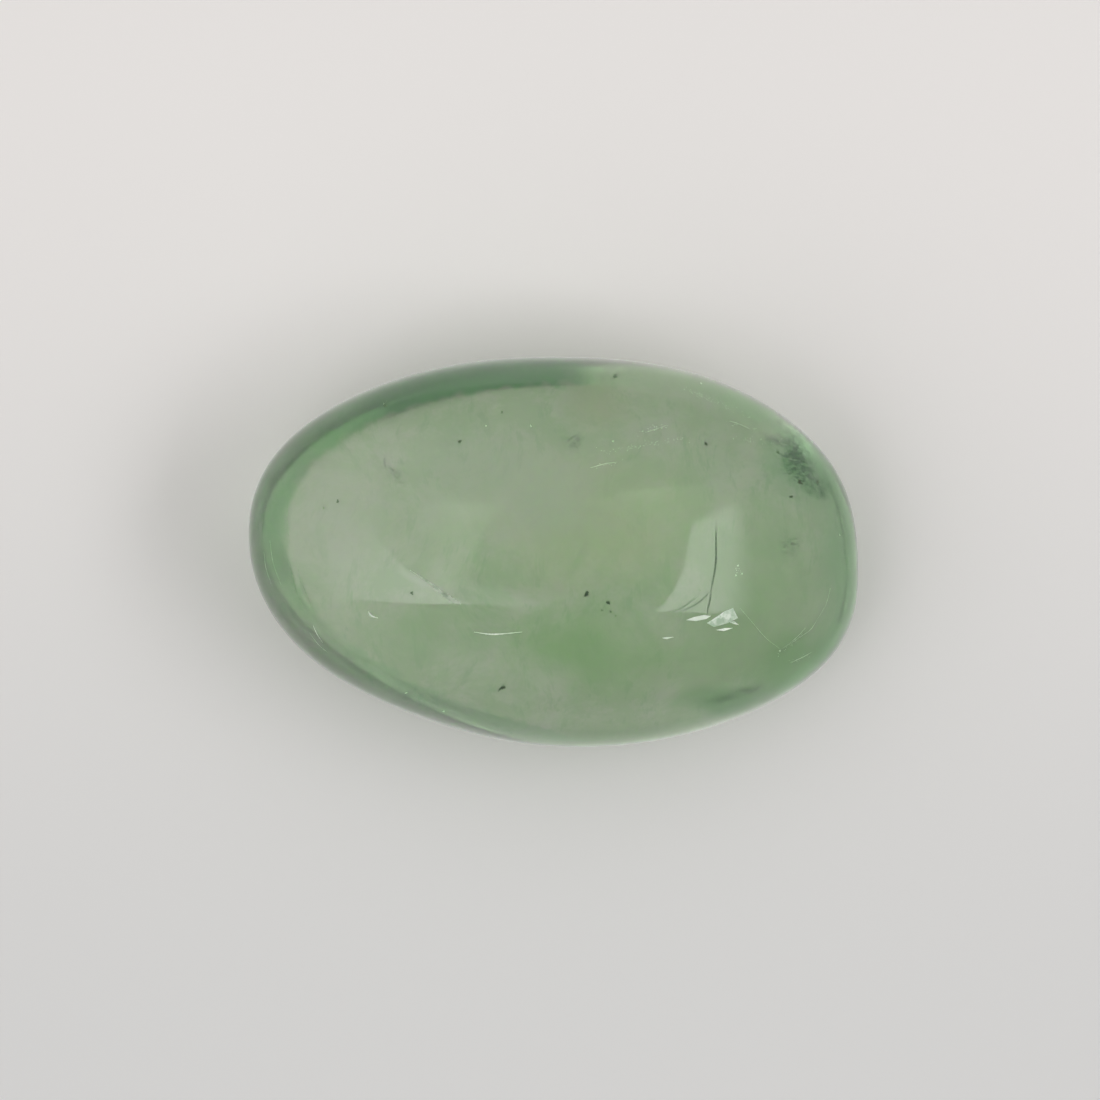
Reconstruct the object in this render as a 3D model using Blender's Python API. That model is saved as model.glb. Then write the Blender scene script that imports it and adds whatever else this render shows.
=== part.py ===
"""A tumbled fluorite pebble: one polished, see-through green stone with no other pieces.

It is modelled in metres, +Z up, lying on the small flat spot worn under its belly. The origin is
in the middle of its length and width, on the surface that it rests on. +X runs along the stone,
towards its broad end, and +Y across it.
"""

import math

import bmesh
import bpy
from mathutils import Vector

LENGTH = 0.0300
WIDTH = 0.0192
HEIGHT = 0.0124
# The widest line round the stone stands this share of the height above the resting spot. It
# climbs by RIM_LIFT towards the end that faces RIM_LIFT_TURN degrees from +X, and dips at the other.
RIM_SHARE = 0.50
RIM_LIFT = 0.0015
RIM_LIFT_TURN = 165
# How much is worn off the belly to make the resting spot
FLAT_DEPTH = 0.00006

# How far the outline, seen from above, stands out from a plain ellipse: twelve even steps of the
# ellipse's angle, counterclockwise from +X. The +Y side is fuller, the -Y side slimmer to the left.
OUTLINE = (0.998, 1.020, 1.024, 0.993, 1.017, 1.040, 1.000, 0.973, 0.951, 0.990, 1.028, 1.055)

# The upright section is a superellipse: 2 is a plain ellipse, and more is fuller in the shoulders
CROWN_POWER = 2.15
BELLY_POWER = 2.00

# Broad, faint swells and worn hollows left by tumbling. Each has the direction it faces (turn from
# +X and tilt above the rim, in degrees), its reach in degrees and its height in metres.
SWELLS = (
    ("left_shoulder", 165, 40, 34, 0.00022),
    ("right_shoulder", -20, 48, 30, 0.00018),
    ("back_hollow", 60, 38, 30, -0.00020),
    ("front_hollow", -115, 35, 32, -0.00014),
    ("belly_ridge", 20, -48, 34, 0.00020),
    ("belly_hollow", 205, -40, 30, -0.00018),
)

# Squares along each side of the cube that is blown up into the stone
GRID = 25

STONE_GREEN = (0.30, 0.45, 0.27, 1.0)
POLISH = 0.08
FLUORITE_IOR = 1.434


def clear_scene():
    for thing in list(bpy.data.objects):
        bpy.data.objects.remove(thing, do_unlink=True)


def outline_factor(turn):
    """The outline's factor at an angle of the ellipse, on a smooth closed curve through OUTLINE."""
    count = len(OUTLINE)
    step = (turn / (2 * math.pi) * count) % count
    first = int(step)
    share = step - first
    before, start, end, after = (OUTLINE[(first + k) % count] for k in (-1, 0, 1, 2))
    slope_in = (end - before) / 2
    slope_out = (after - start) / 2
    rise = end - start
    return (
        start
        + slope_in * share
        + (3 * rise - 2 * slope_in - slope_out) * share**2
        + (slope_in + slope_out - 2 * rise) * share**3
    )


def facing(turn_deg, tilt_deg):
    """The unit vector that faces a turn from +X and a tilt above the rim."""
    turn, tilt = math.radians(turn_deg), math.radians(tilt_deg)
    flat = math.cos(tilt)
    return Vector((flat * math.cos(turn), flat * math.sin(turn), math.sin(tilt)))


def swell_height(way):
    """How far the swells and hollows lift the surface in the direction way."""
    height = 0.0
    for _name, turn, tilt, reach, lift in SWELLS:
        apart = math.degrees(way.angle(facing(turn, tilt)))
        height += lift * math.exp(-((apart / reach) ** 2))
    return height


def surface_point(way):
    """The point of the stone's skin that belongs to the unit vector way, before the fit."""
    turn = math.atan2(way.y, way.x)
    side = math.hypot(way.x, way.y)
    power = CROWN_POWER if way.z > 0 else BELLY_POWER
    reach = (side**power + abs(way.z) ** power) ** (-1 / power)
    factor = outline_factor(turn) * reach * side
    depth = HEIGHT * (1 - RIM_SHARE if way.z > 0 else RIM_SHARE)
    lift = RIM_LIFT * side**2 * math.cos(turn - math.radians(RIM_LIFT_TURN))
    point = Vector(
        (
            LENGTH / 2 * factor * math.cos(turn),
            WIDTH / 2 * factor * math.sin(turn),
            depth * reach * way.z + lift,
        )
    )
    return point + way * swell_height(way)


def blow_up(mesh):
    """Turns a gridded cube into the stone, with nearly even faces all over."""
    for vertex in mesh.verts:
        way = Vector([math.tan(c * math.pi / 4) for c in vertex.co]).normalized()
        vertex.co = surface_point(way)


def cut_resting_spot(mesh):
    """Wears the flat spot under the belly."""
    lowest = min(vertex.co.z for vertex in mesh.verts)
    everything = list(mesh.verts) + list(mesh.edges) + list(mesh.faces)
    bmesh.ops.bisect_plane(
        mesh,
        geom=everything,
        plane_co=(0, 0, lowest + FLAT_DEPTH),
        plane_no=(0, 0, -1),
        clear_outer=True,
    )
    rim = [edge for edge in mesh.edges if edge.is_boundary]
    bmesh.ops.contextual_create(mesh, geom=rim)


def fit_to_size(mesh):
    """Stretches the stone to its exact length, width and height, standing on z = 0."""
    points = [vertex.co for vertex in mesh.verts]
    low = Vector([min(p[axis] for p in points) for axis in range(3)])
    high = Vector([max(p[axis] for p in points) for axis in range(3)])
    size = (LENGTH, WIDTH, HEIGHT)
    for point in points:
        for axis in range(3):
            share = (point[axis] - low[axis]) / (high[axis] - low[axis])
            point[axis] = size[axis] * (share if axis == 2 else share - 0.5)


def fluorite():
    material = bpy.data.materials.new("green_fluorite")
    material.use_nodes = True
    shader = material.node_tree.nodes["Principled BSDF"]
    shader.inputs["Base Color"].default_value = STONE_GREEN
    shader.inputs["Metallic"].default_value = 0.0
    shader.inputs["Roughness"].default_value = POLISH
    shader.inputs["IOR"].default_value = FLUORITE_IOR
    shader.inputs["Transmission Weight"].default_value = 0.7
    return material


def make_stone():
    mesh = bmesh.new()
    bmesh.ops.create_cube(mesh, size=2)
    bmesh.ops.subdivide_edges(mesh, edges=mesh.edges[:], cuts=GRID - 1, use_grid_fill=True)
    blow_up(mesh)
    cut_resting_spot(mesh)
    fit_to_size(mesh)
    bmesh.ops.triangulate(mesh, faces=[f for f in mesh.faces if len(f.verts) == 4])
    bmesh.ops.recalc_face_normals(mesh, faces=mesh.faces[:])
    data = bpy.data.meshes.new("fluorite_stone")
    mesh.to_mesh(data)
    mesh.free()
    data.shade_smooth()
    data.set_sharp_from_angle(angle=math.radians(40))
    data.materials.append(fluorite())
    return bpy.data.objects.new("fluorite_stone", data)


def main():
    clear_scene()
    collection = bpy.data.collections.new("fluorite_gemstone")
    bpy.context.scene.collection.children.link(collection)
    collection.objects.link(make_stone())


main()
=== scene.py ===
"""The looks of a tumbled fluorite pebble: cloudy, see-through green crystal under a glassy polish.

The stone lies on a pale floor and is seen from straight above, with +X to the right and +Y up.
Its skin follows the same formula as the solid, with far more faces. Veils and a haze of tiny
bubbles and mossy dark flakes hang inside it. Specks, bruises, chipped cleavage faces, scratches
and cracks lie on the skin. Each is placed by the pixel of the photograph where it shows. What
hangs inside is sunk along the bent line of sight, so that it stays in the crystal from every side.
"""

import math
import random

import bmesh
import bpy
from mathutils import Matrix, Vector
from mathutils.bvhtree import BVHTree


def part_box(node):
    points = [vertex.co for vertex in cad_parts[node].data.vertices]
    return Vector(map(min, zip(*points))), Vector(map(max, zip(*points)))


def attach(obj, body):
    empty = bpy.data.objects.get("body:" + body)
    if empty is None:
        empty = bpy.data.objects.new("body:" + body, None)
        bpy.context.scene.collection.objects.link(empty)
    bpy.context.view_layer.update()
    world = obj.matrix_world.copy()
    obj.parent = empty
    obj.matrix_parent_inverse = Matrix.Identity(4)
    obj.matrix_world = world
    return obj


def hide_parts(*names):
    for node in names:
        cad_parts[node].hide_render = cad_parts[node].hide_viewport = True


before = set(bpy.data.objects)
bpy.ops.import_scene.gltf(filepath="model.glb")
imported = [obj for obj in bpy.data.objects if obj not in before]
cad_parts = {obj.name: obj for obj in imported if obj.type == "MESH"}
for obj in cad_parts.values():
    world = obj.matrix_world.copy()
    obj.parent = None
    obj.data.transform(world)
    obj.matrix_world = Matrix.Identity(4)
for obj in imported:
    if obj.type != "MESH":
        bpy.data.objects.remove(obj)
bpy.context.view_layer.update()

MM = 0.001
STONE_NODE = "fluorite_stone"
LOW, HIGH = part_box(STONE_NODE)
LENGTH, WIDTH, HEIGHT = HIGH - LOW

# The skin's form, as in the solid: the widest line's share of the height and its climb towards a
# turn from +X, how much is worn off the belly, the outline's twelve factors, and the section's
# fullness over and under the widest line. A swell or hollow has the turn and tilt that it faces,
# its reach in degrees and its height.
RIM_SHARE = 0.50
RIM_LIFT = 0.0015
RIM_LIFT_TURN = 165
FLAT_DEPTH = 0.00006
OUTLINE = (0.998, 1.020, 1.024, 0.993, 1.017, 1.040, 1.000, 0.973, 0.951, 0.990, 1.028, 1.055)
CROWN_POWER = 2.15
BELLY_POWER = 2.00
SWELLS = (
    ("left_shoulder", 165, 40, 34, 0.00022),
    ("right_shoulder", -20, 48, 30, 0.00018),
    ("back_hollow", 60, 38, 30, -0.00020),
    ("front_hollow", -115, 35, 32, -0.00014),
    ("belly_ridge", 20, -48, 34, 0.00020),
    ("belly_hollow", 205, -40, 30, -0.00018),
)
# Squares along each side of the cube that is blown up into the skin
SKIN_GRID = 100

FLUORITE_IOR = 1.434

# The camera looks straight down. The photograph's frame is FRAME_WIDTH wide at the stone's rim,
# and the stone lies a little right of the frame's middle and below it.
CAMERA_HEIGHT = 0.450
FRAME_WIDTH = 0.05414
CAMERA_SHIFT = Vector((-0.00022, 0.00010, 0.0))
RIM_HEIGHT = RIM_SHARE * HEIGHT
EYE = CAMERA_SHIFT + Vector((0, 0, CAMERA_HEIGHT))
PHOTO_SIZE = 1100
PIXEL = FRAME_WIDTH / PHOTO_SIZE

# Specks, chips and lines of the polish lie this far above the skin
SKIN_GAP = 0.000003

chance = random.Random(11)


# The skin


def outline_factor(turn):
    """The outline's factor at an angle of the ellipse, on a smooth closed curve through OUTLINE."""
    count = len(OUTLINE)
    step = (turn / (2 * math.pi) * count) % count
    first = int(step)
    share = step - first
    before, start, end, after = (OUTLINE[(first + k) % count] for k in (-1, 0, 1, 2))
    slope_in = (end - before) / 2
    slope_out = (after - start) / 2
    rise = end - start
    return (
        start
        + slope_in * share
        + (3 * rise - 2 * slope_in - slope_out) * share**2
        + (slope_in + slope_out - 2 * rise) * share**3
    )


def facing(turn_deg, tilt_deg):
    """The unit vector that faces a turn from +X and a tilt above the rim."""
    turn, tilt = math.radians(turn_deg), math.radians(tilt_deg)
    flat = math.cos(tilt)
    return Vector((flat * math.cos(turn), flat * math.sin(turn), math.sin(tilt)))


SWELL_WAYS = [(facing(turn, tilt), math.radians(reach), lift) for _n, turn, tilt, reach, lift in SWELLS]


def swell_height(way):
    """How far the swells and hollows lift the surface in the direction way."""
    height = 0.0
    for middle, reach, lift in SWELL_WAYS:
        height += lift * math.exp(-((way.angle(middle) / reach) ** 2))
    return height


def surface_point(way):
    """The point of the skin that belongs to the unit vector way, before the fit."""
    turn = math.atan2(way.y, way.x)
    side = math.hypot(way.x, way.y)
    power = CROWN_POWER if way.z > 0 else BELLY_POWER
    reach = (side**power + abs(way.z) ** power) ** (-1 / power)
    factor = outline_factor(turn) * reach * side
    depth = HEIGHT * (1 - RIM_SHARE if way.z > 0 else RIM_SHARE)
    lift = RIM_LIFT * side**2 * math.cos(turn - math.radians(RIM_LIFT_TURN))
    point = Vector(
        (
            LENGTH / 2 * factor * math.cos(turn),
            WIDTH / 2 * factor * math.sin(turn),
            depth * reach * way.z + lift,
        )
    )
    return point + way * swell_height(way)


def make_skin():
    """A gridded cube blown up into the stone, and stretched to the solid's box."""
    mesh = bmesh.new()
    bmesh.ops.create_cube(mesh, size=2)
    bmesh.ops.subdivide_edges(mesh, edges=mesh.edges[:], cuts=SKIN_GRID - 1, use_grid_fill=True)
    for vertex in mesh.verts:
        way = Vector([math.tan(c * math.pi / 4) for c in vertex.co]).normalized()
        vertex.co = surface_point(way)
    lowest = min(vertex.co.z for vertex in mesh.verts)
    for vertex in mesh.verts:
        vertex.co.z = max(vertex.co.z, lowest + FLAT_DEPTH)
    points = [vertex.co for vertex in mesh.verts]
    low = Vector([min(p[axis] for p in points) for axis in range(3)])
    high = Vector([max(p[axis] for p in points) for axis in range(3)])
    for point in points:
        for axis in range(3):
            share = (point[axis] - low[axis]) / (high[axis] - low[axis])
            point[axis] = LOW[axis] + share * (HIGH[axis] - LOW[axis])
    bmesh.ops.recalc_face_normals(mesh, faces=mesh.faces[:])
    return mesh


def finish_piece(name, mesh, material, smooth=True):
    """Turns a bmesh into a piece of the stone that rides with it."""
    data = bpy.data.meshes.new(name)
    mesh.to_mesh(data)
    mesh.free()
    if smooth:
        data.shade_smooth()
    data.materials.append(material)
    piece = bpy.data.objects.new(name, data)
    bpy.context.scene.collection.objects.link(piece)
    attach(piece, "root")
    return piece


# Materials


class Nodes:
    """A short way to add shader nodes to one material and wire them up."""

    def __init__(self, name):
        self.material = bpy.data.materials.new(name)
        self.material.use_nodes = True
        self.tree = self.material.node_tree
        self.shader = self.tree.nodes["Principled BSDF"]
        self.output = self.tree.nodes["Material Output"]

    def add(self, kind, settings=None, **inputs):
        node = self.tree.nodes.new(kind)
        for name, value in (settings or {}).items():
            setattr(node, name, value)
        for name, value in inputs.items():
            self.feed(node, name.replace("_", " "), value)
        return node

    def feed(self, node, name, value):
        """Sets an input by name or number, or links it when the value is another node's socket."""
        socket = node.inputs[int(name) if name.isdigit() else name]
        if isinstance(value, bpy.types.NodeSocket):
            self.tree.links.new(value, socket)
        else:
            socket.default_value = value

    def math(self, operation, first, second=0.0):
        node = self.add("ShaderNodeMath", {"operation": operation})
        self.feed(node, "0", first)
        self.feed(node, "1", second)
        return node.outputs[0]

    def vector(self, operation, first, second, third=None):
        node = self.add("ShaderNodeVectorMath", {"operation": operation})
        self.feed(node, "0", first)
        self.feed(node, "1", second)
        if third is not None:
            self.feed(node, "2", third)
        return node.outputs[0]

    def place(self):
        """The place on the piece, in metres."""
        return self.add("ShaderNodeTexCoord").outputs["Object"]

    def pushed(self, place, noise, reach):
        """A place that noise pushes about by up to half of reach each way."""
        push = self.noise(place, *noise).outputs["Color"]
        moved = self.vector("MULTIPLY_ADD", push, (reach,) * 3, place)
        return self.vector("SUBTRACT", moved, (reach / 2,) * 3)

    def noise(self, place, scale, detail=3.0, roughness=0.5, distortion=0.0):
        node = self.add("ShaderNodeTexNoise")
        self.feed(node, "Vector", place)
        self.feed(node, "Scale", scale)
        self.feed(node, "Detail", detail)
        self.feed(node, "Roughness", roughness)
        self.feed(node, "Distortion", distortion)
        return node

    def fit(self, value, low, high, to_low=0.0, to_high=1.0):
        """Maps low..high smoothly to to_low..to_high."""
        node = self.add("ShaderNodeMapRange", {"interpolation_type": "SMOOTHSTEP"})
        for number, number_value in enumerate((value, low, high, to_low, to_high)):
            self.feed(node, str(number), number_value)
        return node.outputs[0]

    def mix(self, share, first, second):
        node = self.add("ShaderNodeMix", {"data_type": "RGBA"})
        self.feed(node, "0", share)
        self.feed(node, "6", first)
        self.feed(node, "7", second)
        return node.outputs[2]

    def bump(self, height, strength, distance):
        node = self.add("ShaderNodeBump")
        self.feed(node, "Strength", strength)
        self.feed(node, "Distance", distance)
        self.feed(node, "Height", height)
        self.feed(self.shader, "Normal", node.outputs["Normal"])

    def distance(self, place, middle, radii, turn=0.0):
        """How far off the middle a place is, in the radii of an ellipsoid turned about Z.

        The middle and the radii are in millimetres, and the turn in radians.
        """
        middle = Vector(middle)
        if turn:
            turned = self.add("ShaderNodeVectorRotate", {"rotation_type": "Z_AXIS"})
            self.feed(turned, "Vector", place)
            self.feed(turned, "Angle", -turn)
            place = turned.outputs[0]
            middle = Matrix.Rotation(-turn, 3, "Z") @ middle
        stretch = [1 / (c * MM) for c in radii]
        offset = [-c / r for c, r in zip(middle, radii)]
        length = self.add("ShaderNodeVectorMath", {"operation": "LENGTH"})
        self.feed(length, "0", self.vector("MULTIPLY_ADD", place, stretch, offset))
        return length.outputs["Value"]

    def zone(self, place, middle, radii, strength, turn=0.0):
        """The strength in the middle of an egg-shaped zone, and 0 outside it."""
        return self.fit(self.distance(place, middle, radii, turn), 1.0, 0.25, 0.0, strength)

    def tint(self, colour, place, zones):
        """Lays soft zones over a colour, one after another."""
        for _name, tint, strength, middle, reach in zones:
            colour = self.mix(self.zone(place, middle, reach, strength), colour, tint)
        return colour

    def patches(self, place, zones):
        """The strongest of some zones at a place, each with a share of its own."""
        strongest = 0.0
        for middle, reach, share in zones:
            strongest = self.math("MAXIMUM", strongest, self.zone(place, middle, reach, share))
        return strongest

    def band(self, place):
        """How deep a place lies in the darker shade that is painted into the colour along the rim, from
        0 to its full strength.
        """
        away = self.distance(place, RIM_SHADE_MIDDLE, RIM_SHADE_RADII, RIM_SHADE_TURN)
        outside = self.fit(away, *RIM_SHADE_EDGE, 0.0, RIM_SHADE_STRENGTH)
        split = self.add("ShaderNodeSeparateXYZ")
        self.feed(split, "0", place)
        for axis, start, end, start_share, end_share in RIM_SHADE_FADES:
            fade = self.fit(split.outputs[axis], start * MM, end * MM, start_share, end_share)
            outside = self.math("MULTIPLY", outside, fade)
        return outside


# The crystal's own colours, before the zones
CRYSTAL_PALE = (0.79, 0.89, 0.74, 1)
CRYSTAL_CLOUD = (0.94, 0.955, 0.89, 1)
CRYSTAL_WISP = (0.68, 0.82, 0.66, 1)
# Soft colour zones of the crystal, and one of painted reflection at the -X side: name, colour, strength,
# middle and reach in millimetres
ZONES = (
    ("yellow_green_heart", (0.88, 0.96, 0.71, 1), 0.8, (2.0, 1.2, 9.0), (7.0, 4.5, 9.0)),
    ("pale_middle", (0.98, 0.98, 0.90, 1), 0.85, (-0.5, 2.2, 10.0), (4.5, 3.2, 6.0)),
    ("pale_middle_left", (0.98, 0.98, 0.92, 1), 0.65, (-5.0, 1.5, 10.0), (4.0, 3.0, 6.0)),
    ("green_right", (0.66, 0.83, 0.59, 1), 0.75, (10.0, -1.5, 9.5), (5.0, 5.5, 6.0)),
    ("pale_upper_left", (0.90, 0.93, 0.87, 1), 0.5, (-4.0, 4.5, 9.5), (5.0, 3.0, 6.0)),
    ("green_front", (0.57, 0.80, 0.49, 1), 0.9, (1.5, -4.6, 9.0), (6.5, 3.2, 6.0)),
    ("green_front_left", (0.66, 0.83, 0.60, 1), 0.6, (-6.5, -4.0, 9.0), (5.0, 1.8, 5.0)),
    ("green_front_right", (0.66, 0.83, 0.60, 1), 0.7, (8.5, -5.0, 9.0), (4.5, 2.6, 5.0)),
    ("green_front_corner", (0.38, 0.68, 0.35, 1), 0.85, (12.0, -5.6, 6.6), (4.2, 3.6, 4.5)),
    # Painted reflection: the crystal is painted paler where light from the left reflects in the skin
    ("pale_left_painted_reflection", (0.96, 0.96, 0.91, 1), 0.8, (-10.0, 1.6, 9.0), (4.2, 4.6, 6.0)),
    ("teal_right", (0.44, 0.71, 0.45, 1), 0.85, (14.6, -0.6, 6.0), (3.0, 8.0, 5.0)),
    ("green_front_rim", (0.48, 0.73, 0.40, 1), 0.85, (3.0, -9.4, 5.5), (8.5, 2.6, 4.5)),
    ("green_back_right", (0.66, 0.82, 0.62, 1), 0.7, (8.5, 7.0, 7.0), (4.0, 2.0, 4.0)),
    ("rose_rim_back", (0.84, 0.80, 0.76, 1), 0.6, (4.8, 8.8, 7.0), (6.0, 2.2, 4.0)),
    ("brown_stain_back", (0.74, 0.76, 0.62, 1), 0.7, (2.4, 7.4, 9.5), (2.4, 2.2, 3.0)),
    ("green_back_corner", (0.41, 0.66, 0.42, 1), 0.85, (13.2, 4.6, 6.5), (2.8, 3.8, 4.0)),
    ("dark_corner", (0.38, 0.65, 0.38, 1), 0.9, (8.2, -7.4, 7.3), (3.6, 1.3, 3.5)),
    ("moss_stain", (0.50, 0.72, 0.54, 1), 0.7, (12.0, 4.3, 8.5), (2.8, 2.4, 4.0)),
)
# Painted shade: a darker green along the rim at the -X side, where the crystal is seen darker through
# its inner reflections, painted into the colour. It lies outside an ellipse, turned and seen from above,
# in millimetres
RIM_SHADE_COLOUR = (0.43, 0.80, 0.50, 1)
RIM_SHADE_MIDDLE = (4.75, -0.75, 0.0)
RIM_SHADE_RADII = (18.25, 8.84, 1000.0)
RIM_SHADE_TURN = -0.125
RIM_SHADE_EDGE = (0.97, 1.01)
RIM_SHADE_STRENGTH = 0.86
# Where the painted rim shade fades: the axis, from and to where in millimetres, and its shares there
RIM_SHADE_FADES = (
    ("X", 3.2, -0.4, 0.0, 1.0),
    ("X", -13.5, -6.0, 0.45, 1.0),
    ("Y", -6.5, 4.0, 0.42, 1.0),
    ("Z", 1.8, 6.4, 0.0, 1.0),
)
# Painted highlight: a pale streak painted into the colour where a healed crack catches the light, seen
# through the reflection at the -X side
CRACK_HIGHLIGHT_COLOUR = (1.0, 1.0, 0.97, 1)
CRACK_HIGHLIGHT_STRENGTH = 0.9
CRACK_HIGHLIGHT_MIDDLE = (-6.0, -1.65, 12.0)
CRACK_HIGHLIGHT_RADII = (2.6, 0.36, 4.0)
CRACK_HIGHLIGHT_TURN = -0.5
# Mossy grains: middle and reach in millimetres, and how thick they lie
MOSS_PATCHES = (
    ((11.9, 4.4, 8.8), (1.3, 1.9, 3.0), 1.0),
    ((12.9, 3.2, 8.0), (1.5, 1.0, 3.0), 0.8),
    ((10.6, 5.4, 9.4), (1.4, 0.7, 3.0), 0.5),
    ((14.0, 1.8, 7.0), (0.8, 2.0, 3.0), 0.4),
    ((11.6, 0.3, 9.0), (1.4, 1.2, 3.0), 0.38),
    ((-8.2, 4.2, 10.0), (1.3, 1.0, 3.0), 0.35),
    ((8.0, -7.2, 7.0), (2.6, 0.7, 3.0), 0.5),
    ((-9.9, -5.4, 7.5), (1.3, 1.2, 3.0), 0.4),
    ((-6.5, -7.0, 7.0), (3.0, 0.9, 3.0), 0.35),
)
MOSS_COLOUR = (0.33, 0.56, 0.36, 1)

# The noise in the crystal and on its skin: scale per metre, detail and roughness
DRIFT_NOISE = (260, 0, 0.55)
RAGGED_NOISE = (1500, 0, 0.65)
CLOUD_NOISE = (420, 4, 0.74)
WISP_NOISE = (620, 3, 0.7)
GRAIN_NOISE = (2300, 3, 0.72)
POLISH_NOISE = (700, 0, 0.5)
FLECK_NOISE = (2600, 3, 0.6)
# How far, in metres, the drift and the ragged noise push the zones' edges about in all
DRIFT_REACH = 0.0022
RAGGED_REACH = 0.0006
# How much the wisps are squeezed along each axis, and how strongly they show at most
WISP_SQUEEZE = (2.2, 0.8, 1.0)
WISP_STRENGTH = 0.75
# The noise's levels between which clouds, wisps and moss set in
CLOUD_LEVELS = (0.37, 0.63)
WISP_LEVELS = (0.52, 0.70)
MOSS_LEVELS = (0.12, 0.58)

# How the crystal takes light: the share that its milkiness scatters, how far the light goes in it
# by colour, what the clear rest absorbs, and the faint dust on the skin
MILK_SHARE = 0.16
MILK_REACH = (0.8, 1.0, 0.7)
MILK_SCALE = 0.002
ABSORPTION = (0.30, 0.58, 0.20, 1)
ABSORPTION_DENSITY = 42
DUST_SHEEN = 0.6
DUST_ROUGHNESS = 0.35
# The polish: its roughness, from clear to cloudy places, and how wavy it is
POLISH_ROUGHNESS = (0.035, 0.08)
POLISH_CLOUD_LEVELS = (0.35, 0.7)
POLISH_WAVES = (0.15, 0.00003)
# The same for flecks: the noise's levels for colour and for gloss, and how uneven they are
FLECK_LEVELS = (0.36, 0.64)
FLECK_GLOSS_LEVELS = (0.3, 0.7)
FLECK_GLOSS_RANGE = 0.2
FLECK_WAVES = (0.3, 0.00002)


def polished_fluorite():
    """Cloudy green crystal: plain transmission and absorption, with colour clouds and fine bruises."""
    n = Nodes("green_fluorite_polished")
    place = n.place()
    wavy = n.pushed(place, DRIFT_NOISE, DRIFT_REACH)
    ragged = n.pushed(place, RAGGED_NOISE, RAGGED_REACH)
    clouds = n.noise(wavy, *CLOUD_NOISE).outputs["Fac"]
    colour = n.mix(n.fit(clouds, *CLOUD_LEVELS), CRYSTAL_PALE, CRYSTAL_CLOUD)
    wisps = n.noise(n.vector("MULTIPLY", wavy, WISP_SQUEEZE), *WISP_NOISE).outputs["Fac"]
    colour = n.mix(n.fit(wisps, *WISP_LEVELS, 0.0, WISP_STRENGTH), colour, CRYSTAL_WISP)
    colour = n.tint(colour, wavy, ZONES)
    # The painted shade along the rim at the -X side
    colour = n.mix(n.band(ragged), colour, RIM_SHADE_COLOUR)
    # The painted highlight along the healed crack
    crack_highlight = n.zone(ragged, CRACK_HIGHLIGHT_MIDDLE, CRACK_HIGHLIGHT_RADII, CRACK_HIGHLIGHT_STRENGTH, CRACK_HIGHLIGHT_TURN)
    colour = n.mix(crack_highlight, colour, CRACK_HIGHLIGHT_COLOUR)
    grain = n.noise(place, *GRAIN_NOISE).outputs["Fac"]
    moss = n.math("MULTIPLY", n.patches(ragged, MOSS_PATCHES), grain)
    colour = n.mix(n.fit(moss, *MOSS_LEVELS), colour, MOSS_COLOUR)
    n.feed(n.shader, "Base Color", colour)
    n.feed(n.shader, "IOR", FLUORITE_IOR)
    n.feed(n.shader, "Transmission Weight", 1 - MILK_SHARE)
    n.feed(n.shader, "Subsurface Weight", 1.0)
    n.feed(n.shader, "Subsurface Radius", MILK_REACH)
    n.feed(n.shader, "Subsurface Scale", MILK_SCALE)
    n.feed(n.shader, "Sheen Weight", DUST_SHEEN)
    n.feed(n.shader, "Sheen Roughness", DUST_ROUGHNESS)
    n.feed(n.shader, "Roughness", n.fit(clouds, *POLISH_CLOUD_LEVELS, *POLISH_ROUGHNESS))
    n.bump(n.noise(place, *POLISH_NOISE).outputs["Fac"], *POLISH_WAVES)
    absorb = n.add("ShaderNodeVolumeAbsorption")
    absorb.inputs["Color"].default_value = ABSORPTION
    absorb.inputs["Density"].default_value = ABSORPTION_DENSITY
    n.tree.links.new(absorb.outputs[0], n.output.inputs["Volume"])
    return n.material


def fleck_material(name, first, second, gloss):
    """A mineral that changes between two colours from grain to grain. The gloss is a roughness."""
    n = Nodes(name)
    grain = n.noise(n.place(), *FLECK_NOISE).outputs["Fac"]
    n.feed(n.shader, "Base Color", n.mix(n.fit(grain, *FLECK_LEVELS), first, second))
    dullest = gloss + FLECK_GLOSS_RANGE
    n.feed(n.shader, "Roughness", n.fit(grain, *FLECK_GLOSS_LEVELS, gloss, dullest))
    n.bump(grain, *FLECK_WAVES)
    return n.material


# Things in the crystal and on its skin


class Sight:
    """Finds places in the crystal by the pixel of the photograph where they show."""

    def __init__(self, skin):
        self.tree = BVHTree.FromBMesh(skin)

    def at(self, px, py):
        """The skin's point at a pixel, its normal, and the way that the line of sight goes on inside."""
        half = PHOTO_SIZE / 2
        goal = Vector(((px - half) * PIXEL, (half - py) * PIXEL, RIM_HEIGHT)) + CAMERA_SHIFT
        way = (goal - EYE).normalized()
        point, normal, _face, _distance = self.tree.ray_cast(EYE, way)
        if point is None:
            return None
        bend = 1 / FLUORITE_IOR
        lean = -way.dot(normal)
        inside = way * bend + normal * (bend * lean - math.sqrt(1 - bend**2 * (1 - lean**2)))
        return point, normal, inside

    def sunk(self, px, py, depth):
        """The place that shows at a pixel from depth metres under the skin, and the skin's normal."""
        found = self.at(px, py)
        if found is None:
            return None
        point, normal, inside = found
        return point + inside * depth, normal

    def on_skin(self, px, py):
        """The place a hair above the skin that shows at a pixel, and the skin's normal."""
        found = self.at(px, py)
        if found is None:
            return None
        point, normal, _inside = found
        return point + normal * SKIN_GAP, normal


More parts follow.
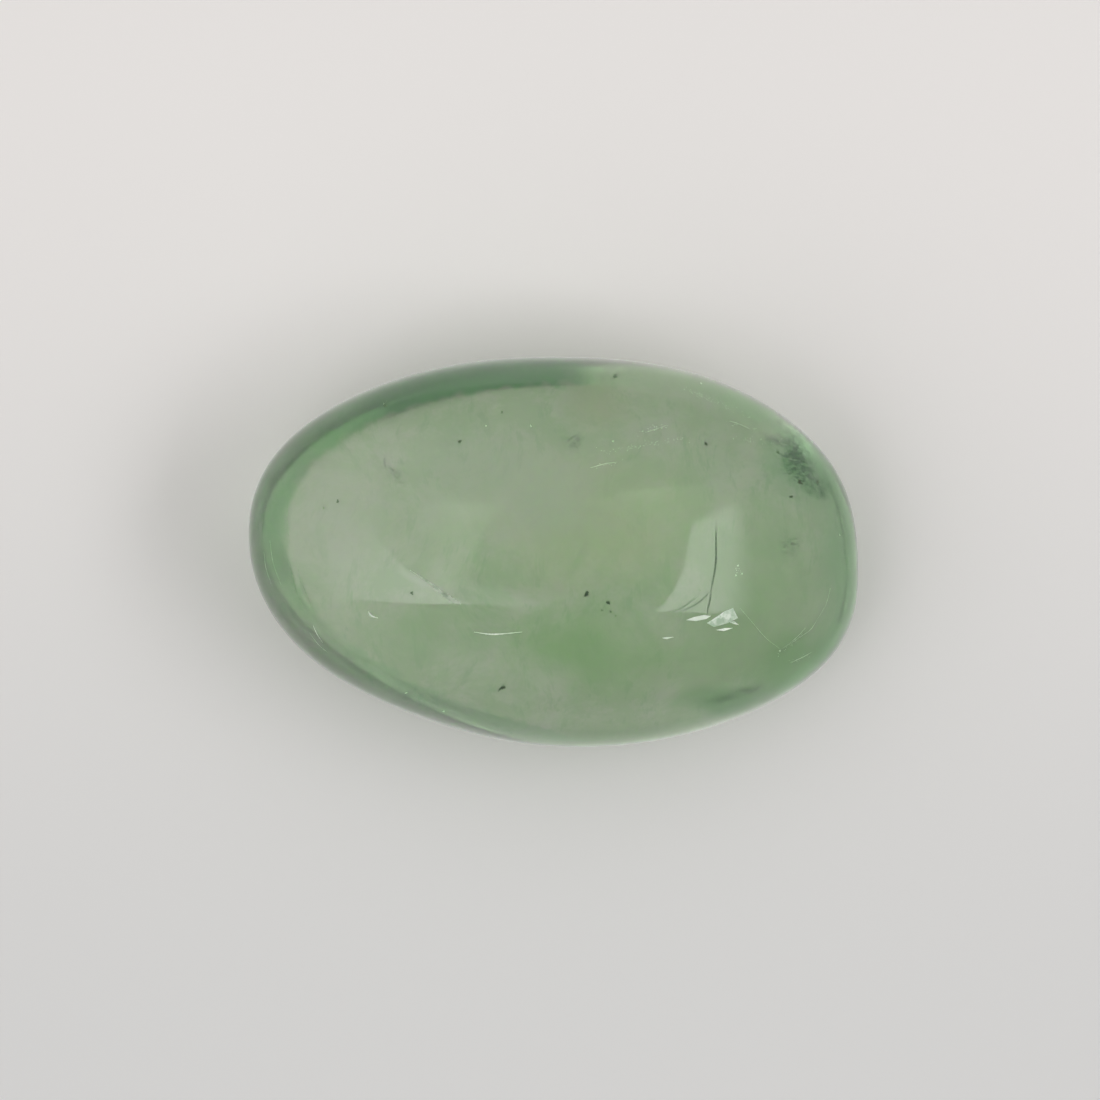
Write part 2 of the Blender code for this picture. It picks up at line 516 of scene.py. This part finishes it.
def smooth_path(corners, steps):
    """Points on a smooth curve through the corners, each a pixel: steps of them and one more."""
    points = [Vector(c) for c in corners]
    padded = [points[0] * 2 - points[1], *points, points[-1] * 2 - points[-2]]
    out = []
    for k in range(steps + 1):
        along = k / steps * (len(points) - 1)
        first = min(int(along), len(points) - 2)
        t = along - first
        a, b, c, d = padded[first : first + 4]
        squared = (2 * a - 5 * b + 4 * c - d) * t**2
        cubed = (3 * b - a - 3 * c + d) * t**3
        out.append(0.5 * (2 * b + (c - a) * t + squared + cubed))
    return out


def add_fleck(mesh, middle, normal, size, stretch=1.0, tilt=0.5):
    """One flat grain with five uneven corners, facing normal give or take some tilt."""
    tilted = (normal + Vector([chance.gauss(0, tilt) for _axis in range(3)])).normalized()
    across = tilted.orthogonal().normalized()
    across = Matrix.Rotation(chance.uniform(0, math.tau), 3, tilted) @ across
    along = tilted.cross(across)
    corners = []
    for k in range(5):
        turn = math.tau * (k + chance.uniform(-0.35, 0.35)) / 5
        corner = across * math.cos(turn) * size * stretch + along * math.sin(turn) * size
        corners.append(mesh.verts.new(middle + corner))
    mesh.faces.new(corners)


def scatter(mesh, sight, middle, radii, turn_deg, count, depths, sizes, stretch=1.0):
    """Flecks round a pixel, dense in the middle of an ellipse and thin at its edge.

    They hang between two depths in millimetres, or lie on the skin where depths is None.
    """
    turn = math.radians(turn_deg)
    for _fleck in range(count):
        u, v = chance.gauss(0, radii[0] / 2), chance.gauss(0, radii[1] / 2)
        px = middle[0] + u * math.cos(turn) - v * math.sin(turn)
        py = middle[1] - u * math.sin(turn) - v * math.cos(turn)
        found = sight.sunk(px, py, chance.uniform(*depths) * MM) if depths else sight.on_skin(px, py)
        if found:
            add_fleck(mesh, *found, chance.uniform(*sizes) * MM, stretch, tilt=0.5 if depths else 0.0)


def add_ribbon(mesh, sight, corners, width, steps=24):
    """A thin strip on the skin that follows a path of pixels and tapers to both ends."""
    places = [found for found in (sight.on_skin(*p) for p in smooth_path(corners, steps)) if found]
    last = len(places) - 1
    pairs = []
    for k, (place, normal) in enumerate(places):
        ahead = places[min(k + 1, last)][0] - places[max(k - 1, 0)][0]
        side = ahead.cross(normal).normalized()
        half = width * MM / 2 * math.sin(math.pi * (0.06 + 0.88 * k / last)) * chance.uniform(0.7, 1.3)
        pairs.append((mesh.verts.new(place + side * half), mesh.verts.new(place - side * half)))
    for (a, b), (c, d) in zip(pairs, pairs[1:]):
        mesh.faces.new((a, b, d, c))


def add_plate(mesh, sight, corners, rings=4, cuts=3):
    """A plate that lies on the skin, with a corner at each pixel: a chipped cleavage face, or a pale
    sliver that paints a glint.
    """
    corners = [Vector(c) for c in corners]
    middle = sum(corners, Vector((0, 0))) / len(corners)
    edge = []
    for a, b in zip(corners, corners[1:] + corners[:1]):
        edge += [a.lerp(b, k / cuts) for k in range(cuts)]
    inner = [mesh.verts.new(sight.on_skin(*middle)[0])] * len(edge)
    for ring in range(1, rings + 1):
        outer = [mesh.verts.new(sight.on_skin(*middle.lerp(p, ring / rings))[0]) for p in edge]
        for k in range(len(edge)):
            after = (k + 1) % len(edge)
            corner_set = (inner[k], outer[k], outer[after])
            mesh.faces.new(corner_set if ring == 1 else (*corner_set, inner[after]))
        inner = outer


def add_grains(mesh, sight, pixel, size, stretch, count=5):
    """A small uneven heap of grains that lies flat on the skin round a pixel."""
    spread = size * MM / PIXEL * 0.45
    for _grain in range(count):
        near = (pixel[0] + chance.gauss(0, spread), pixel[1] + chance.gauss(0, spread))
        found = sight.on_skin(*near)
        if found:
            add_fleck(mesh, *found, size * MM * chance.uniform(0.35, 0.65), stretch, tilt=0.0)


# Sizes of single flecks in mm, and how many times longer than wide they are
VEIL_SIZES = (0.012, 0.035)
SKIN_VEIL_SIZES = (0.004, 0.012)
VEIL_STRETCH = 1.3
MOSS_SIZES = (0.015, 0.045)
MOSS_STRETCH = 1.5
BRUISE_STRETCH = 1.2
# Pale bubble veils: middle pixel, reach in pixels along and across, turn, flecks and depth in mm
VEILS = (
    ((708, 399), (34, 5), -24, 260, (0.5, 1.5)),
    ((655, 428), (18, 4), 14, 90, (0.5, 1.0)),
    ((640, 450), (52, 9), 9, 300, (1.0, 2.5)),
    ((604, 465), (16, 2), 13, 50, (0.8, 1.2)),
    ((740, 425), (14, 3), -14, 50, (0.6, 1.0)),
    ((758, 440), (40, 6), -3, 180, (1.0, 2.0)),
    ((650, 395), (40, 12), -12, 160, (1.0, 3.0)),
    ((738, 570), (5, 5), 0, 40, (0.2, 0.5)),
    ((803, 658), (12, 3), 24, 60, (0.3, 0.6)),
    ((330, 500), (40, 44), 0, 420, (0.6, 3.0)),
    ((557, 495), (50, 22), 10, 340, (2.0, 4.0)),
    ((470, 660), (60, 12), -16, 240, (0.8, 2.0)),
    ((700, 375), (50, 5), -20, 180, (0.3, 0.8)),
)
# The haze of bubbles inside the rim at the -X side, in the same terms
RIM_HAZE = (
    ((343, 412), (26, 6), 30, 260, (0.15, 0.6)),
    ((309, 436), (26, 6), 38, 300, (0.15, 0.6)),
    ((281, 463), (24, 6), 52, 290, (0.15, 0.6)),
    ((263, 495), (26, 6), 80, 300, (0.15, 0.6)),
    ((260, 535), (30, 6), 90, 350, (0.15, 0.6)),
    ((267, 574), (26, 6), -72, 340, (0.15, 0.6)),
    ((285, 606), (24, 6), -56, 370, (0.15, 0.6)),
    ((310, 636), (26, 6), -48, 390, (0.15, 0.6)),
    ((342, 663), (28, 6), -38, 400, (0.15, 0.6)),
    ((380, 688), (28, 6), -26, 320, (0.15, 0.6)),
    ((421, 706), (26, 5), -20, 200, (0.15, 0.6)),
)
# Where veils come out at the skin: middle pixel, reach in pixels along and across, turn and flecks
SKIN_VEILS = (
    ((708, 399), (34, 3), -24, 60),
    ((655, 428), (18, 3), 14, 40),
    ((640, 446), (46, 4), 9, 70),
    ((604, 465), (16, 2), 13, 16),
    ((740, 425), (14, 3), -14, 16),
    ((758, 440), (30, 4), -3, 30),
    ((738, 570), (4, 4), 0, 12),
    ((801, 658), (12, 2), 24, 24),
    ((797, 640), (18, 1.5), 40, 30),
)
# Mossy dark patches, in the same terms as the veils
MOSS = (
    ((795, 455), (12, 18), 25, 620, (0.4, 1.8)),
    ((806, 472), (13, 13), 0, 280, (0.4, 1.6)),
    ((818, 487), (22, 9), -50, 240, (0.4, 1.4)),
    ((778, 441), (20, 5), -10, 130, (0.4, 1.4)),
    ((750, 690), (14, 5), 12, 150, (0.3, 1.0)),
    ((722, 699), (20, 5), 14, 190, (0.3, 1.0)),
    ((790, 545), (12, 8), 20, 80, (0.6, 1.6)),
    ((390, 470), (22, 9), -40, 90, (0.6, 2.0)),
    ((573, 442), (12, 12), 0, 90, (0.8, 1.6)),
    ((350, 663), (26, 5), -32, 130, (0.2, 0.8)),
    ((430, 700), (34, 4), -18, 110, (0.2, 0.8)),
    ((400, 402), (26, 4), 14, 110, (0.2, 0.8)),
)
# Single dark grains: pixel, radius in mm and how many times longer than wide
SPECKS = (
    ((615, 376), 0.11, 1.4),
    ((706, 444), 0.10, 1.2),
    ((587, 594), 0.13, 1.2),
    ((608, 603), 0.10, 1.3),
    ((611, 612), 0.06, 1.3),
    ((502, 688), 0.10, 1.5),
    ((791, 497), 0.10, 1.5),
    ((800, 482), 0.12, 1.6),
    ((818, 482), 0.09, 1.2),
    ((778, 452), 0.07, 1.3),
    ((385, 406), 0.08, 1.6),
    ((412, 593), 0.09, 1.0),
    ((338, 501), 0.08, 1.2),
    ((324, 508), 0.05, 1.2),
    ((460, 442), 0.07, 1.8),
    ((502, 412), 0.06, 1.2),
    ((700, 590), 0.05, 1.0),
    ((602, 611), 0.06, 1.2),
    ((616, 616), 0.05, 1.2),
    ((270, 608), 0.06, 1.2),
    ((276, 616), 0.05, 1.2),
    ((636, 730), 0.06, 1.3),
)
# White bruises of the polish: pixel and radius in mm
BRUISES = (
    ((701, 384), 0.06),
    ((613, 441), 0.05),
    ((655, 430), 0.06),
    ((662, 428), 0.05),
    ((486, 426), 0.03),
    ((531, 426), 0.05),
    ((406, 693), 0.06),
    ((444, 711), 0.05),
    ((840, 535), 0.05),
    ((780, 651), 0.05),
    ((384, 404), 0.04),
    ((738, 566), 0.05),
    ((742, 574), 0.05),
    ((736, 575), 0.04),
)
# Chipped cleavage faces on the skin, by the pixels of their corners. The chips are real, and their pale
# colour also paints the light that they reflect
CLEAVAGES = (
    ((707, 623), (725, 611), (733, 608), (738, 618), (728, 623), (714, 627)),
    ((729, 622), (734, 621), (739, 625)),
)
# Thinner and brighter pale slivers that paint the glints of light on small chips, in the same terms
GLINT_SLIVERS = (
    ((686, 620), (694, 617), (704, 615), (711, 616), (706, 619), (696, 621)),
    ((716, 630), (725, 628), (733, 628), (724, 631)),
    ((709, 622), (718, 616), (725, 611), (720, 617)),
    ((729, 622), (733, 622), (739, 625), (734, 624)),
    ((662, 638), (668, 637), (674, 637), (667, 639)),
    ((368, 611), (370, 614), (377, 618), (371, 616)),
)
# Fine pale lines, mostly scratches: path of pixels, and width in mm
PALE_LINES = (
    (((264, 552), (266, 568), (272, 586)), 0.025),
    (((270, 540), (273, 562), (281, 585)), 0.018),
    (((309, 632), (318, 644), (328, 653)), 0.03),
    (((786, 647), (797, 639), (810, 630), (817, 620)), 0.025),
    (((780, 650), (790, 643), (800, 634), (806, 627)), 0.022),
    (((817, 620), (826, 604), (831, 586)), 0.010),
    (((740, 608), (752, 622), (766, 638), (780, 649)), 0.016),
    (((790, 663), (801, 658), (812, 652)), 0.03),
    (((590, 468), (604, 464), (617, 462)), 0.022),
    (((647, 432), (656, 429), (667, 425)), 0.03),
    (((730, 421), (739, 424), (750, 429)), 0.03),
    (((377, 378), (420, 366), (470, 361)), 0.016),
    # The last two are pale strips that paint the highlight streak along the healed crack
    (((410, 570), (428, 582), (445, 594), (459, 603)), 0.09),
    (((434, 588), (445, 595), (454, 601), (461, 604)), 0.24),
)
# Pale strips that paint thin glints of light, in the same terms
GLINT_LINES = (
    (((474, 632), (488, 634), (500, 634), (522, 632)), 0.055),
    (((313, 625), (317, 634), (323, 643)), 0.03),
    (((368, 611), (371, 616), (378, 618)), 0.05),
)
# Fine dark lines, in the same terms
DARK_LINES = (
    (((716, 527), (716, 545), (716, 560), (714, 575), (711, 590)), 0.09),
    (((711, 590), (710, 600), (708, 608), (707, 614)), 0.07),
    (((711, 590), (704, 598), (693, 606), (680, 612)), 0.05),
    (((698, 595), (690, 602), (681, 608), (670, 612)), 0.045),
    (((286, 555), (291, 570), (296, 590), (303, 607)), 0.03),
    (((296, 560), (301, 580), (309, 600), (316, 616)), 0.022),
    (((288, 500), (287, 520), (290, 545)), 0.022),
    (((498, 692), (501, 688), (504, 684)), 0.10),
    (((383, 408), (385, 404), (387, 400)), 0.07),
)


def make_inclusions(sight):
    """The flecks, chips, cracks and lines in the crystal and on its skin."""
    veils = bmesh.new()
    for middle, radii, turn, count, depths in VEILS:
        scatter(veils, sight, middle, radii, turn, count, depths, VEIL_SIZES, VEIL_STRETCH)
    for middle, radii, turn, count in SKIN_VEILS:
        scatter(veils, sight, middle, radii, turn, count, None, SKIN_VEIL_SIZES, VEIL_STRETCH)
    pale = fleck_material("bubble_veil", (0.70, 0.82, 0.68, 1), (0.86, 0.92, 0.82, 1), 0.35)
    finish_piece("healed_veils", veils, pale, smooth=False)

    haze = bmesh.new()
    for middle, radii, turn, count, depths in RIM_HAZE:
        scatter(haze, sight, middle, radii, turn, count, depths, VEIL_SIZES, VEIL_STRETCH)
    pale_green = fleck_material("haze_green", (0.56, 0.76, 0.54, 1), (0.72, 0.87, 0.68, 1), 0.35)
    finish_piece("rim_haze", haze, pale_green, smooth=False)

    moss = bmesh.new()
    for middle, radii, turn, count, depths in MOSS:
        scatter(moss, sight, middle, radii, turn, count, depths, MOSS_SIZES, MOSS_STRETCH)
    dark_green = fleck_material("mossy_chlorite", (0.045, 0.12, 0.060, 1), (0.10, 0.20, 0.10, 1), 0.5)
    finish_piece("moss_inclusion", moss, dark_green, smooth=False)

    specks = bmesh.new()
    for pixel, size, stretch in SPECKS:
        add_grains(specks, sight, pixel, size, stretch)
    brown = fleck_material("dark_grain", (0.030, 0.060, 0.028, 1), (0.085, 0.12, 0.065, 1), 0.5)
    finish_piece("dark_specks", specks, brown, smooth=False)

    bruises = bmesh.new()
    for pixel, size in BRUISES:
        add_grains(bruises, sight, pixel, size, BRUISE_STRETCH)
    white = fleck_material("bruised_crystal", (0.28, 0.38, 0.26, 1), (0.50, 0.59, 0.46, 1), 0.3)
    finish_piece("bruises", bruises, white, smooth=False)

    plates = bmesh.new()
    for corners in CLEAVAGES:
        add_plate(plates, sight, corners)
    # Real chips whose pale colour paints their reflection of the light
    glossy = fleck_material("cleavage_painted_reflection", (0.40, 0.54, 0.39, 1), (0.74, 0.84, 0.72, 1), 0.15)
    finish_piece("cleavage_faces", plates, glossy)

    # Painted glints: pale slivers and strips
    slivers = bmesh.new()
    for corners in GLINT_SLIVERS:
        add_plate(slivers, sight, corners)
    for corners, width in GLINT_LINES:
        add_ribbon(slivers, sight, corners, width)
    glint_paint = fleck_material("sliver_painted_glint", (0.70, 0.80, 0.68, 1), (0.92, 0.96, 0.90, 1), 0.15)
    finish_piece("painted_glint_slivers", slivers, glint_paint)

    scratches = bmesh.new()
    for corners, width in PALE_LINES:
        add_ribbon(scratches, sight, corners, width)
    finish_piece("fine_scratches_and_streak_highlight", scratches, white)

    cracks = bmesh.new()
    for corners, width in DARK_LINES:
        add_ribbon(cracks, sight, corners, width)
    crack_green = fleck_material("crack_shade", (0.05, 0.09, 0.05, 1), (0.11, 0.17, 0.10, 1), 0.4)
    finish_piece("hairline_cracks", cracks, crack_green)


# Floor, lights and camera

FLOOR_DROP = 0.00008
FLOOR_SIZE = 1.6
# The floor's colour is painted lighter towards +Y, from one distance to the other, as painted light
# falloff
FLOOR_FRONT = (0.762, 0.758, 0.756, 1)
FLOOR_BACK = (0.915, 0.886, 0.875, 1)
FLOOR_PAINTED_FALLOFF = (-0.026, 0.026)
FLOOR_ROUGHNESS = 0.55


def make_floor():
    mesh = bmesh.new()
    bmesh.ops.create_grid(mesh, x_segments=8, y_segments=8, size=FLOOR_SIZE / 2)
    data = bpy.data.meshes.new("floor")
    mesh.to_mesh(data)
    mesh.free()
    floor = bpy.data.objects.new("floor", data)
    floor.location.z = LOW.z - FLOOR_DROP
    bpy.context.scene.collection.objects.link(floor)
    n = Nodes("pale_floor")
    split = n.add("ShaderNodeSeparateXYZ", Vector=n.place())
    # Painted light falloff: the floor is painted lighter towards +Y
    towards_back = n.fit(split.outputs["Y"], *FLOOR_PAINTED_FALLOFF)
    n.feed(n.shader, "Base Color", n.mix(towards_back, FLOOR_FRONT, FLOOR_BACK))
    n.feed(n.shader, "Roughness", FLOOR_ROUGHNESS)
    data.materials.append(n.material)


def softbox(name, corner, front, side, radiance, front_profile, side_profile):
    """A rectangular softbox that faces the stone.

    From one corner its front edge runs along front, and its side edge along side. The profiles
    give its brightness at shares of each edge's length, as shares of radiance.
    """
    front, side = Vector(front), Vector(side)
    centre = Vector(corner) + (front + side) / 2
    across, along = front.normalized(), side.normalized()
    back = across.cross(along)
    if back.dot(centre) < 0:
        along, back = -along, -back
        side_profile = [(1 - share, level) for share, level in reversed(side_profile)]
    light = bpy.data.lights.new(name, "AREA")
    light.shape = "RECTANGLE"
    light.size, light.size_y = front.length, side.length
    light.energy = math.pi * front.length * side.length
    light.use_nodes = True
    tree = light.node_tree
    split = tree.nodes.new("ShaderNodeSeparateXYZ")
    tree.links.new(tree.nodes.new("ShaderNodeNewGeometry").outputs["Parametric"], split.inputs[0])
    strength = radiance
    for axis, profile in (("X", front_profile), ("Y", side_profile)):
        ramp = tree.nodes.new("ShaderNodeValToRGB")
        while len(ramp.color_ramp.elements) < len(profile):
            ramp.color_ramp.elements.new(0.5)
        for stop, (share, level) in zip(ramp.color_ramp.elements, profile):
            stop.position = share
            stop.color = (level, level, level, 1)
        product = tree.nodes.new("ShaderNodeMath")
        product.operation = "MULTIPLY"
        tree.links.new(split.outputs[axis], ramp.inputs["Fac"])
        tree.links.new(ramp.outputs["Color"], product.inputs[0])
        if isinstance(strength, bpy.types.NodeSocket):
            tree.links.new(strength, product.inputs[1])
        else:
            product.inputs[1].default_value = strength
        strength = product.outputs[0]
    tree.links.new(strength, tree.nodes["Emission"].inputs["Strength"])
    lamp = bpy.data.objects.new(name, light)
    lamp.matrix_world = Matrix.Translation(centre) @ Matrix((across, along, back)).transposed().to_4x4()
    bpy.context.scene.collection.objects.link(lamp)
    return lamp


# The softboxes, at the left and the right. The left one is dim over the first fifth of its front
# edge, which gives its reflection in the stone a sharp lower edge.
LEFT_SOFTBOX = {
    "corner": (0.003, -0.1815, 0.4836),
    "front": (-0.2816, -0.0167, -0.2546),
    "side": (-0.305, 0.410, 0.311),
    "radiance": 4.0,
    "front_profile": (
        (0.0, 0.1),
        (0.06, 0.34),
        (0.205, 0.36),
        (0.213, 1.0),
        (0.28, 0.85),
        (0.5, 0.55),
        (0.9, 0.0),
    ),
    "side_profile": ((0.0, 1.0), (0.15, 0.80), (0.32, 0.35), (0.55, 0.12), (1.0, 0.0)),
}
RIGHT_SOFTBOX = {
    "corner": (0.127, -0.1815, 0.363),
    "front": (0.0749, 0.0731, -0.1938),
    "side": (0.216, 0.345, 0.214),
    "radiance": 3.25,
    "front_profile": ((0.0, 1.0), (0.70, 0.95), (1.0, 0.0)),
    "side_profile": ((0.0, 1.0), (0.80, 0.9), (1.0, 0.2)),
}
# The room's soft light: how bright it is at the horizon and overhead, and the sides where it is
# darker or lighter. A side has the way it faces (turn from +X and tilt, in degrees), how far it
# reaches from there at its full and in all, in degrees, and what it adds to the room's light as a
# share of it.
ROOM_HORIZON = 0.335
ROOM_ZENITH = 0.485
ROOM_SIDES = (
    ("dim_front", -90, 62, 12, 30, -0.50),
    ("dark_front", -63, 22, 19, 26, -0.58),
    ("light_right", 6, 9, 20, 42, 0.62),
    ("light_back", 90, 60, 10, 50, 0.80),
    ("dim_back", 82, 18, 16, 36, -0.32),
    ("light_front_left", -126, 25, 34, 37, 0.66),
    ("light_left", 178, 26, 10, 35, 0.95),
)
ROOM_COLOUR = (1.0, 0.99, 0.97, 1)
# The room's light goes from the horizon's to the zenith's between these heights of a direction
ROOM_RISE = (0.2, 0.95)
# How often light may be bent or thrown back on its way through the crystal
LIGHT_BOUNCES = 8


def make_world():
    """A soft room, with some sides darker or lighter than the rest."""
    world = bpy.data.worlds.new("soft_room")
    bpy.context.scene.world = world
    world.use_nodes = True
    tree = world.node_tree
    ground = tree.nodes["Background"]
    place = tree.nodes.new("ShaderNodeTexCoord").outputs["Generated"]

    def towards(way, low, high, start, end):
        """Turns smoothly from start to end as the direction's share along way goes from low to high."""
        along = tree.nodes.new("ShaderNodeVectorMath")
        along.operation = "DOT_PRODUCT"
        tree.links.new(place, along.inputs[0])
        along.inputs[1].default_value = way
        ramp = tree.nodes.new("ShaderNodeMapRange")
        ramp.interpolation_type = "SMOOTHSTEP"
        tree.links.new(along.outputs["Value"], ramp.inputs["Value"])
        for number, value in enumerate((low, high, start, end), 1):
            ramp.inputs[number].default_value = value
        return ramp.outputs[0]

    strength = towards((0, 0, 1), *ROOM_RISE, ROOM_HORIZON, ROOM_ZENITH)
    for _name, turn, tilt, full, reach, more in ROOM_SIDES:
        low, high = math.cos(math.radians(reach)), math.cos(math.radians(full))
        product = tree.nodes.new("ShaderNodeMath")
        product.operation = "MULTIPLY"
        tree.links.new(strength, product.inputs[0])
        tree.links.new(towards(facing(turn, tilt), low, high, 1.0, 1.0 + more), product.inputs[1])
        strength = product.outputs[0]
    tree.links.new(strength, ground.inputs["Strength"])
    ground.inputs["Color"].default_value = ROOM_COLOUR


def make_camera():
    camera = bpy.data.cameras.new("camera")
    camera.sensor_width = 36
    camera.lens = camera.sensor_width * (CAMERA_HEIGHT - RIM_HEIGHT) / FRAME_WIDTH
    camera.clip_start = 0.01
    camera.clip_end = 10
    stand = bpy.data.objects.new("camera", camera)
    stand.location = EYE
    bpy.context.scene.collection.objects.link(stand)
    bpy.context.scene.camera = stand


def main():
    skin = make_skin()
    sight = Sight(skin)
    stone = finish_piece("polished_stone", skin, polished_fluorite())
    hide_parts(STONE_NODE)
    make_inclusions(sight)
    make_floor()
    make_world()
    softbox("left_softbox", **LEFT_SOFTBOX)
    softbox("right_softbox", **RIGHT_SOFTBOX)
    make_camera()
    scene = bpy.context.scene
    scene.view_settings.view_transform = "Standard"
    scene.cycles.max_bounces = LIGHT_BOUNCES
    scene.cycles.transmission_bounces = LIGHT_BOUNCES


main()
